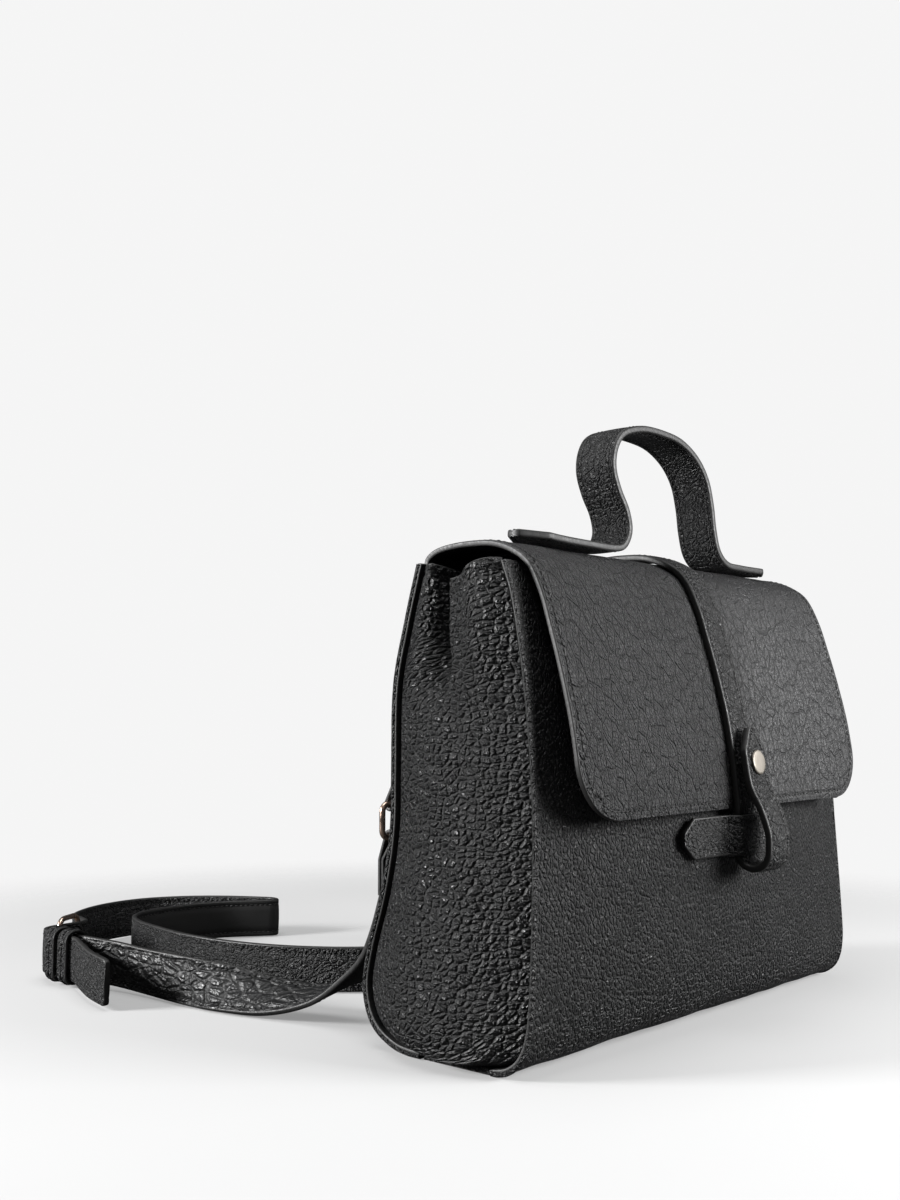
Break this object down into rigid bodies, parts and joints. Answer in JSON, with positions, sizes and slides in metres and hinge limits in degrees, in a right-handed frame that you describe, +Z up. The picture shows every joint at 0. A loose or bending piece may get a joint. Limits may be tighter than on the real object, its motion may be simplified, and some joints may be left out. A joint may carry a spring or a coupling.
{
  "type": "flap satchel handbag",
  "caption": "Structured flap satchel in black grained leather, with a top handle, a snapped closure strap through a keeper, pleated side gussets and a long buckled shoulder strap.",
  "frame": {"origin": "centre of the flat underside of the base, on the floor", "axes": "+Z up, -Y out of the bag's front, +X to the right as seen from the front"},
  "size_m": [0.3595, 0.4792, 0.3099],
  "materials": {
    "grained_leather": "fine grain, satin",
    "strap_leather": "stitched, satin, painted edges",
    "lining_cloth": "matte woven",
    "board": "matte fibre board",
    "nickel": "satin nickel plate",
    "bronze": "satin bronze plate"
  },
  "bodies": {
    "bag": {"front_panel": "grained_leather", "back_panel": "grained_leather", "front_lining": "lining_cloth", "back_lining": "lining_cloth", "base_panel": "grained_leather", "base_board": "board", "gusset_left": "grained_leather", "gusset_right": "grained_leather", "flap_tail": "grained_leather", "front_keeper": "strap_leather", "anchor_tab_left": "strap_leather", "anchor_tab_right": "strap_leather", "strap_short": "strap_leather", "strap_long": "strap_leather", "strap_tip": "strap_leather", "strap_keeper_front": "strap_leather", "strap_keeper_rear": "strap_leather", "buckle_frame": "bronze"},
    "flap_upper": {"flap_top": "grained_leather", "closure_strap_top": "strap_leather", "handle": "strap_leather", "handle_backing_left": "strap_leather", "handle_backing_right": "strap_leather"},
    "flap_lower": {"flap_front": "grained_leather", "closure_strap": "strap_leather", "snap_stud": "nickel", "snap_back_plate": "nickel"},
    "tongue": {"closure_tongue": "strap_leather", "snap_cap": "nickel", "snap_socket": "nickel"},
    "ring_left_body": {"ring_left": "bronze", "strap_end_left": "strap_leather"},
    "ring_right_body": {"ring_right": "bronze", "strap_end_right": "strap_leather"},
    "prong": {"buckle_prong": "bronze"}
  },
  "joints": [
    {"name": "flap_open", "type": "hinge", "parent": "bag", "child": "flap_upper", "pos_m": [0, 0.03, 0.2312], "axis": [-1, 0, 0], "range_deg": [0, 100], "deforming": ["front_keeper"]},
    {"name": "flap_bend", "type": "hinge", "parent": "flap_upper", "child": "flap_lower", "pos_m": [0, -0.03352, 0.23409], "axis": [-1, 0, 0], "range_deg": [0, 80], "deforming": ["front_keeper"]},
    {"name": "tongue_open", "type": "hinge", "parent": "flap_lower", "child": "tongue", "pos_m": [0, -0.08167, 0.08069], "axis": [1, 0, 0], "range_deg": [0, 150]},
    {"name": "ring_swing_left", "type": "hinge", "parent": "bag", "child": "ring_left_body", "pos_m": [-0.127, 0.0495, 0.1135], "axis": [1, 0, 0], "range_deg": [0, 45]},
    {"name": "ring_swing_right", "type": "hinge", "parent": "bag", "child": "ring_right_body", "pos_m": [0.127, 0.0495, 0.1135], "axis": [1, 0, 0], "range_deg": [0, 45]},
    {"name": "prong_open", "type": "hinge", "parent": "bag", "child": "prong", "pos_m": [-0.1605, 0.305, 0.0177], "axis": [0, 0, 1], "range_deg": [0, 60]}
  ]
}
